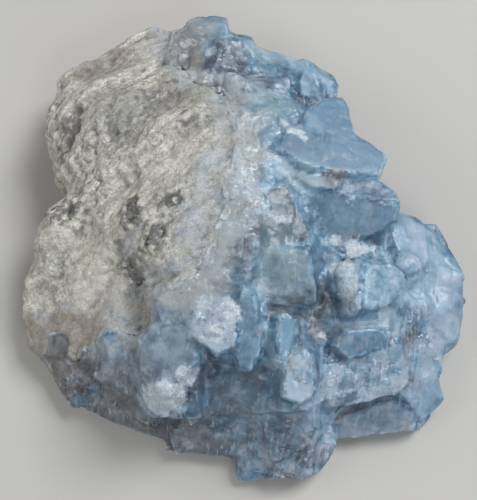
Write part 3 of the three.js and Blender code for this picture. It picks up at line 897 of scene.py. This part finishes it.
broken_part = in_places(crystal_points, BROKEN)
fused = np.maximum(in_places(crystal_points, FUSED), soft_step(9.0, 2.0, to_bare_rock))
gentle = worn(crystals, crystal_points, 2)
melted = worn(crystals, crystal_points, 40)
move_points(crystals, gentle)
filling = np.einsum("ij,ij->i", melted - gentle, outward(crystals))
share = np.where(filling > 0, CREASE_FILLING + FUSED_FILLING * fused, EDGE_WEAR + FUSED_WEAR * fused)
crystal_points = gentle + (melted - gentle) * share[:, None]

# Deep gaps between the crystals are grown half shut: points under the cluster's general form are drawn
# up to it, and where crystals have fused, humps are drawn down to it
GAP_FILLING = 0.55
HUMP_LOWERING = 0.45
general_form = whole_stone(0.002, 40)
for i, point in enumerate(crystal_points):
    place, normal, _, _ = general_form.find_nearest(point)
    depth = (place - Vector(point)).dot(normal)
    drawn = 0.0
    if normal.z > 0.1:
        drawn = GAP_FILLING * soft_step(0.4, 3.0, depth) if depth > 0 else HUMP_LOWERING * fused[i]
    crystal_points[i] += drawn * (np.array(place) - point)
move_points(crystals, crystal_points)
crystal_points = flow_together(crystal_points, outward(crystals), to_bare_rock, SEAM_REACH)
move_points(crystals, crystal_points)

# The flat face of the CAD node that each point belongs to, known by its plane. Each plane has a tone of its
# own, and the faces listed above have a look of their own.
FACE_TONE = 0.38
FACE_TONE_SPREAD = 0.34
FUSED_TONE = 0.55
FACE_REACH = 24

flat_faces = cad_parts["crystals"].data.polygons
face_normals = np.array([face.normal for face in flat_faces])
face_offsets = np.einsum("ij,ij->i", face_normals, np.array([face.center for face in flat_faces]) / MM)
nearest_face = np.array([crystal_skin.find_nearest(point)[2] for point in crystal_points.tolist()])
paleness = np.empty(len(crystal_points))
for i, face in enumerate(nearest_face):
    plane = Vector(face_normals[face]) * 7 + Vector((face_offsets[face] / 5, 0, 0))
    paleness[i] = FACE_TONE + FACE_TONE_SPREAD * noise.cell_vector(plane)[0]
paleness = FUSED_TONE + (paleness - FUSED_TONE) * (1 - 0.8 * fused)
greyness = np.zeros(len(crystal_points))
evenness = np.zeros(len(crystal_points))
for place, pale, grey, even in FACES:
    chosen = crystal_skin.find_nearest(place)[2]
    parallel = face_normals @ face_normals[chosen] > 0.996
    same = parallel & (np.abs(face_offsets - face_offsets[chosen]) < 0.3)
    near = np.linalg.norm(crystal_points - place, axis=1) < FACE_REACH
    on_face = same[nearest_face] & near
    paleness[on_face] = pale
    greyness[on_face] = grey
    evenness[on_face] = even

# The relief, in millimetres: broken blocks and chips, high where the crystals are broken and low elsewhere,
# ripples, and what has grown on
BLOCK_SIZE = 5.5
CHIP_SIZE = 2.6
HIGH_BLOCKS = 1.9
HIGH_CHIPS = 0.8
LOW_BLOCKS = 0.8
LOW_CHIPS = 0.4
RIPPLE_HEIGHT = 0.25
FUSED_RIPPLES = 0.35
CRUST_HEIGHT = 0.8
CRUST_GAP_HEIGHT = 3.6
CRUST_SWELLING = 3.0
CRYSTAL_SWELLINGS = [
    (57, -23, 11, 11, 1.0),
    (56, -28, 8, 9, 0.9),
    (25.5, -21.5, 29, 6, 0.8),
    (-20, -51.5, 28, 6, 0.6),
    (44, -16.5, 24, 6, 0.8),
]

blocks, block_values = broken(crystal_points, BLOCK_SIZE, 3.0)
chips, _ = broken(crystal_points, CHIP_SIZE, 9.0)
ripples = (RIPPLE_HEIGHT + FUSED_RIPPLES * fused) * wavy(crystal_points, 6.0, 4.0)
high = broken_part * (HIGH_BLOCKS * blocks + HIGH_CHIPS * chips)
rough = high + (1 - broken_part) * (LOW_BLOCKS * blocks + LOW_CHIPS * chips)
closing = (
    CRUST_HEIGHT * soft_step(3.0, 0.8, to_bare_rock)
    + CRUST_GAP_HEIGHT * in_places(crystal_points, CLOSED_GAPS)
    + CRUST_SWELLING * in_places(crystal_points, CRYSTAL_SWELLINGS)
)
relief = (rough + ripples) * (1 - 0.85 * evenness) + closing
above_ground = soft_step(0.2, 2.5, crystal_points[:, 2])
crystal_points += outward(crystals) * (relief * above_ground)[:, None]
crystal_points[:, 2] = np.maximum(crystal_points[:, 2], 0)
move_points(crystals, crystal_points)
crystal_points = worn(crystals, crystal_points, 1)
move_points(crystals, crystal_points)

# The looks of each point; the listed places get wandering edges
straying = np.stack([wavy(crystal_points, 4.0, 50.0 * axis) for axis in range(3)], axis=1)
wander = crystal_points + 2.0 * straying
facing = outward(crystals)
# Darkening: partly the crystals' own dark, partly painted shade
deep_and_shaded = np.maximum(in_places(wander, DEEP_AND_SHADED) * (1 - evenness), in_places(wander, SHADED_IN_FACES))
crusted = soft_step(13.0, 1.5, to_bare_rock + 5.0 * wavy(crystal_points, 6.0))
crusted = crusted * (1 - evenness) * (1 - 0.75 * deep_and_shaded)
crusted = crusted * (1 - 0.55 * in_places(crystal_points, DULL_RIM))
crystal_looks = {
    "broken": broken_part,
    "crust": crusted,
    "edge": -np.einsum("ij,ij->i", worn(crystals, crystal_points, 4) - crystal_points, facing),
    # How far each point lies below its smoothed neighbours: darkened in the material as painted shade, and a
    # place for sugar
    "sunk": np.einsum("ij,ij->i", worn(crystals, crystal_points, 60) - crystal_points, facing),
    "pale": paleness + 0.25 * (block_values - 0.5) * broken_part,
    "even": evenness,
    "milky": in_places(wander, MILKY),
    "snowy": in_places(wander, SNOWY),
    "deep_and_shaded": deep_and_shaded,
    "lilac": in_places(wander, LILAC),
    "greenish": in_places(wander, GREENISH),
    "greyish": np.maximum(in_places(wander, GREYISH) * (1 - evenness), greyness),
    "brownish": in_places(wander, BROWNISH),
    "rocky": in_places(wander, ROCKY),
}
for name, values in crystal_looks.items():
    write_attribute(crystals, name, values)

CRYSTAL_TONES = [
    (0.0, (0.035, 0.06, 0.105, 1)),
    (0.28, (0.068, 0.15, 0.25, 1)),
    (0.5, (0.125, 0.305, 0.465, 1)),
    (0.72, (0.29, 0.50, 0.665, 1)),
    (1.0, (0.60, 0.745, 0.86, 1)),
]
GREY_TONES = [
    (0.0, (0.06, 0.07, 0.085, 1)),
    (0.5, (0.205, 0.23, 0.265, 1)),
    (1.0, (0.57, 0.62, 0.69, 1)),
]
LILAC_LIGHT = [
    (0.0, (0.35, 0.35, 0.35, 1)),
    (1.0, (1.8, 1.8, 1.8, 1)),
]
LILAC_GREY = (0.36, 0.36, 0.42, 1)
SNOW = (0.80, 0.90, 1.0, 1)
GREEN_GREY = (0.34, 0.48, 0.50, 1)
BROWN_GREY = (0.30, 0.27, 0.26, 1)
DUST = (0.36, 0.355, 0.33, 1)
CRUST_SHEEN = (0.88, 0.96, 1, 1)
CRYSTAL_BUMP_DEPTH = 0.0006
CRYSTAL_IOR = 1.62
CRYSTAL_TRANSMISSION = 0.5
MILKINESS = 0.7
MILKY_DEPTH = 0.0015
BODY_COLOUR = (0.55, 0.78, 0.95, 1)
BODY_DENSITY = 40


def tone_ramp(tree, factor, tones):
    node = add_node(tree, "ShaderNodeValToRGB", Fac=factor)
    stops = node.color_ramp.elements
    while len(stops) < len(tones):
        stops.new(0.5)
    for stop, (position, colour) in zip(stops, tones):
        stop.position = position
        stop.color = colour
    return node.outputs["Color"]


def minus(tree, first, second):
    return add_node(tree, "ShaderNodeMath", {"operation": "SUBTRACT"}, n0=first, n1=second).outputs[0]


def greater(tree, first, second):
    return add_node(tree, "ShaderNodeMath", {"operation": "MAXIMUM"}, n0=first, n1=second).outputs[0]


crystal_material, tree, shader = new_material("celestite")
plain = millimetres(tree)
striped = millimetres(tree, 0.15, (1.0, 0.12, 0.15))
rough_part = attribute(tree, "broken")
milky = attribute(tree, "milky")
uneven = times(tree, between(tree, attribute(tree, "even"), 1.0, 0.15), between(tree, milky, 1.0, 0.45))
facets = place_group(tree, grain_group, Vector=plain, Scale=0.42).outputs
grains = place_group(tree, grain_group, Vector=plain, Scale=0.28).outputs
fine_grains = place_group(tree, grain_group, Vector=plain, Scale=1.6).outputs

# The tone, from dark and clear to pale: the face's own, with clouds, facets, stripes and shade
wide = spread(tree, cloudy(tree, plain, 0.09, 4, 0.6), -0.26, 0.26)
mottle = spread(tree, cloudy(tree, plain, 0.30, 6, 0.68), -0.26, 0.26)
facet_tone = times(tree, minus(tree, facets["Value"], 0.5), between(tree, rough_part, 0.14, 0.34))
changes = plus(tree, plus(tree, wide, mottle), facet_tone)
stripes = ranged(tree, cloudy(tree, striped, 0.9, 4, 0.6), 0.35, 0.65, -0.26, 0.26)
tone = plus(tree, attribute(tree, "pale"), times(tree, changes, uneven))
tone = plus(tree, tone, spread(tree, cloudy(tree, plain, 1.1, 5, 0.7), -0.05, 0.05))
tone = plus(tree, tone, times(tree, stripes, rough_part))
tone = plus(tree, tone, between(tree, milky, 0, 0.34))
# Darker in the deep places: partly the crystals' own dark, partly painted shade
tone = minus(tree, tone, between(tree, attribute(tree, "deep_and_shaded"), 0, 0.30))
# Painted shade: the sunk places are darker
tone = minus(tree, tone, ranged(tree, attribute(tree, "sunk"), 0.4, 3.0, 0, 0.10))

# The colour: blue or grey by place and tone, then tinged with green, lilac and brown
grey_clouds = times(tree, spread(tree, cloudy(tree, plain, 0.22, 5), -0.3, 0.45), uneven)
grey_share = between(tree, plus(tree, attribute(tree, "greyish"), grey_clouds), 0.0, 0.9)
colour = mix_colour(tree, grey_share, tone_ramp(tree, tone, CRYSTAL_TONES), tone_ramp(tree, tone, GREY_TONES))
colour = mix_colour(tree, between(tree, attribute(tree, "greenish"), 0, 0.6), colour, GREEN_GREY)
lilac_clouds = ranged(tree, cloudy(tree, plain, 0.11, 5, 0.6), 0.42, 0.62, 0.05, 0.9)
lilac_colour = mix_colour(tree, 1.0, LILAC_GREY, tone_ramp(tree, tone, LILAC_LIGHT), "MULTIPLY")
colour = mix_colour(tree, times(tree, lilac_clouds, attribute(tree, "lilac")), colour, lilac_colour)
brown = plus(tree, attribute(tree, "brownish"), mottle)
colour = mix_colour(tree, ranged(tree, brown, 0.15, 0.9, 0, 0.7), colour, BROWN_GREY)

# The crust along the rock, and the rock's dust
crust = ranged(tree, frayed(tree, "crust", cloudy(tree, plain, 0.4, 5), -0.45, 0.25), 0.0, 0.6)
crust_colour = place_group(tree, crust_group, Vector=plain).outputs["Color"]
colour = mix_colour(tree, crust, colour, mix_colour(tree, 0.40, crust_colour, CRUST_SHEEN))
colour = mix_colour(tree, ranged(tree, attribute(tree, "rocky"), 0.1, 0.8, 0, 0.85), colour, DUST)

# White snow, veils and cracks, and whitened edges: partly worn white edges, partly a painted highlight along
# them
snow = ranged(tree, frayed(tree, "snowy", cloudy(tree, plain, 0.5, 6, 0.68), -0.85, 0.15), 0.0, 0.5)
edge_clouds = ranged(tree, cloudy(tree, plain, 0.4, 3), 0.3, 0.6)
edges = times(tree, ranged(tree, attribute(tree, "edge"), 0.06, 0.22), edge_clouds)
veil = ranged(tree, cloudy(tree, plain, 0.17, 8, 0.72), 0.55, 0.68, 0, 0.6)
crack_clouds = minus(tree, cloudy(tree, striped, 0.30, 3, 0.5), 0.5)
crack_lines = add_node(tree, "ShaderNodeMath", {"operation": "ABSOLUTE"}, n0=crack_clouds).outputs[0]
crack_places = ranged(tree, cloudy(tree, plain, 0.2, 3), 0.48, 0.62, 0.0, 0.55)
cracks = times(tree, ranged(tree, crack_lines, 0.004, 0.018, 1.0, 0.0), crack_places)
# The convex edges are whitened: worn chips and painted highlight
white = greater(tree, snow, times(tree, edges, 0.7))
white = greater(tree, white, times(tree, greater(tree, veil, cracks), uneven))
tree.links.new(mix_colour(tree, white, colour, SNOW), shader.inputs["Base Color"])

# Chips and sugar as fine relief; single grains glint
chips_laid = laid_over(tree, (0.8, grains["Height"]), (0.9, facets["Height"]), (0.12, fine_grains["Height"]))
chip_height = times(tree, chips_laid, between(tree, rough_part, 0.5, 1.3))
chip_height = plus(tree, chip_height, times(tree, cloudy(tree, plain, 0.5, 6, 0.6), 0.35))
sugar = times(tree, fine_grains["Height"], greater(tree, crust, between(tree, snow, 0, 2.2)))
chip_height = plus(tree, times(tree, chip_height, uneven), sugar)
bump = add_node(tree, "ShaderNodeBump", Height=chip_height, Strength=0.7, Distance=CRYSTAL_BUMP_DEPTH)
tree.links.new(bump.outputs[0], shader.inputs["Normal"])
gloss = times(tree, between(tree, facets["Value"], -0.12, 0.12), uneven)
gloss = plus(tree, gloss, between(tree, white, 0.42, 0.56))
glint = times(tree, ranged(tree, fine_grains["Value"], 0.78, 0.80), greater(tree, rough_part, snow))
tree.links.new(times(tree, gloss, between(tree, glint, 1.0, 0.3)), shader.inputs["Roughness"])

shader.inputs["IOR"].default_value = CRYSTAL_IOR
shader.inputs["Transmission Weight"].default_value = CRYSTAL_TRANSMISSION
shader.inputs["Subsurface Weight"].default_value = MILKINESS
shader.inputs["Subsurface Radius"].default_value = (1.0, 1.0, 1.0)
shader.inputs["Subsurface Scale"].default_value = MILKY_DEPTH
absorption = add_node(tree, "ShaderNodeVolumeAbsorption", Color=BODY_COLOUR, Density=BODY_DENSITY)
tree.links.new(absorption.outputs[0], tree.nodes["Material Output"].inputs["Volume"])

crystals.data.materials.append(crystal_material)
bpy.ops.object.shade_smooth()
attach(crystals, "root")
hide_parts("crystals")

# The sugar and the small crystals: broken blocks of celestite that stand out of the crust, the seams and the
# snowy patches. They have grown on the cluster, of the same substance; each catches the light its own way.
SUGAR_COUNT = 2600
SUGAR_SIZES = (0.3, 0.8)
SMALL_CRYSTAL_COUNT = 260
SMALL_CRYSTAL_SIZES = (1.6, 3.4)
LEAN = 0.5
ROCK_SUGAR_TONE = 0.7

bpy.ops.mesh.primitive_cube_add(size=MM, location=(0, 0, 0))
block = bpy.context.object
for face in block.data.polygons:
    face.select = face.normal.z > 0.9
bpy.ops.object.mode_set(mode="EDIT")
bpy.ops.mesh.select_mode(type="FACE")
bpy.ops.transform.resize(value=(0.5, 0.95, 1), center_override=(0, 0, 0))
bpy.ops.mesh.select_all(action="SELECT")
bpy.ops.transform.resize(value=(1.0, 0.75, 0.85), center_override=(0, 0, 0))
bpy.ops.object.mode_set(mode="OBJECT")
block_corners = points_of(block)
block_faces = np.array([list(face.vertices) for face in block.data.polygons])
bpy.data.objects.remove(block)

ground_places = np.concatenate([crystal_points, rock_points])
ground_facing = np.concatenate([facing, outward(rock)])
no_look = np.zeros(len(rock_points))
ground_looks = {name: np.concatenate([values, no_look]) for name, values in crystal_looks.items()}
ground_looks["crust"][len(crystal_points):] = 1.0
ground_looks["pale"][len(crystal_points):] = ROCK_SUGAR_TONE
open_share = soft_step(1.0, 4.0, ground_places[:, 2]) * (ground_facing[:, 2] > -0.2)
sugar_wanted = open_share * np.concatenate([
    (
        0.04
        + 0.40 * crystal_looks["crust"]
        + 0.3 * crystal_looks["snowy"]
        + 0.5 * crystal_looks["broken"]
        + 0.6 * soft_step(0.5, 1.6, crystal_looks["sunk"])
    ) * (1 - 0.95 * evenness),
    0.5 * soft_step(4.5, 0.8, to_crystals) * (covered < 0.6),
])
crystals_wanted = open_share * np.concatenate([
    (0.15 + crystal_looks["broken"] + 0.5 * crystal_looks["crust"]) * (evenness < 0.1),
    np.zeros(len(rock_points)),
])


# Blocks set into the surface to a share of their size, each turned its own way. They take over the looks
# of the place they stand on, some of them lighter.
def grow_blocks(name, count, sizes, wanted, lighter, depth, seed):
    chance = random.Random(seed)
    chosen = chance.choices(range(len(ground_places)), weights=wanted.tolist(), k=count)
    corners = []
    for i in chosen:
        size = sizes[0] + (sizes[1] - sizes[0]) * chance.random() ** 2
        angles = [chance.uniform(-LEAN, LEAN), chance.uniform(-LEAN, LEAN), chance.uniform(0, 6.3)]
        stand = Vector(ground_facing[i]).to_track_quat("Z", "Y").to_matrix() @ Euler(angles).to_matrix()
        turned = block_corners * size @ np.array(stand).T
        corners.append(turned + ground_places[i] - depth * size * ground_facing[i])
    faces = (np.arange(count)[:, None, None] * len(block_corners) + block_faces).reshape(-1, 4)
    mesh = bpy.data.meshes.new(name)
    mesh.from_pydata((np.concatenate(corners) * MM).tolist(), [], faces.tolist())
    piece = bpy.data.objects.new(name, mesh)
    bpy.context.scene.collection.objects.link(piece)
    for look, values in ground_looks.items():
        own = values[chosen]
        if look == "pale":
            own = own + np.array([chance.uniform(*lighter) for _ in chosen])
        if look == "snowy":
            own = own * np.array([chance.uniform(0.5, 1.1) for _ in chosen])
        write_attribute(piece, look, np.repeat(own, len(block_corners)))
    piece.data.materials.append(crystal_material)
    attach(piece, "root")


grow_blocks("sugar_grains", SUGAR_COUNT, SUGAR_SIZES, sugar_wanted, lighter=(0.0, 0.35), depth=0.36, seed=7)
grow_blocks(
    "small_crystals",
    SMALL_CRYSTAL_COUNT,
    SMALL_CRYSTAL_SIZES,
    crystals_wanted,
    lighter=(-0.15, 0.08),
    depth=0.40,
    seed=8,
)

# The small grey crystals in the rock: stubby blocks of smoky celestite, each in a pocket of its own.
# They keep their flat faces; their edges are worn and they are dull.
GREY = (0.21, 0.21, 0.205, 1)
LIGHT_GREY = (0.31, 0.305, 0.29, 1)
STUB_BUMP_DEPTH = 0.0005
STUB_ROUGHNESS = 0.35
STUB_VOXEL = 0.0003
STUB_FACET_HEIGHT = 1.7
STUB_WAVE_HEIGHT = 0.4
STUB_SWELLING = 0.35
STUB_DEPTH = 0.9

grey_material, tree, shader = new_material("grey_celestite")
plain = millimetres(tree)
lightness = ranged(tree, cloudy(tree, plain, 0.6, 5, 0.65), 0.42, 0.60)
tree.links.new(mix_colour(tree, lightness, GREY, LIGHT_GREY), shader.inputs["Base Color"])
stub_height = place_group(tree, grain_group, Vector=plain, Scale=1.2).outputs["Height"]
bump = add_node(tree, "ShaderNodeBump", Height=stub_height, Strength=0.5, Distance=STUB_BUMP_DEPTH)
tree.links.new(bump.outputs[0], shader.inputs["Normal"])
shader.inputs["Roughness"].default_value = STUB_ROUGHNESS
shader.inputs["IOR"].default_value = CRYSTAL_IOR
shader.inputs["Transmission Weight"].default_value = CRYSTAL_TRANSMISSION

for node_name in (
    "rock_crystal_left",
    "rock_crystal_upper",
    "rock_crystal_right",
    "rock_crystal_middle",
    "rock_crystal_lower",
):
    stub = fine_copy(node_name, "worn_" + node_name, STUB_VOXEL)
    stub_points = worn(stub, points_of(stub), 12)
    heights, _ = broken(stub_points, 2.1, 2.0)
    move_points(stub, stub_points)
    stub_relief = STUB_FACET_HEIGHT * heights + STUB_WAVE_HEIGHT * wavy(stub_points, 2.5) + STUB_SWELLING
    stub_points += outward(stub) * stub_relief[:, None]
    into_rock = -np.array(stone_skin.find_nearest(stub_points.mean(axis=0))[1])
    move_points(stub, stub_points + STUB_DEPTH * into_rock)
    stub.data.materials.append(grey_material)
    bpy.ops.object.shade_smooth()
    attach(stub, "root")
    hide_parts(node_name)
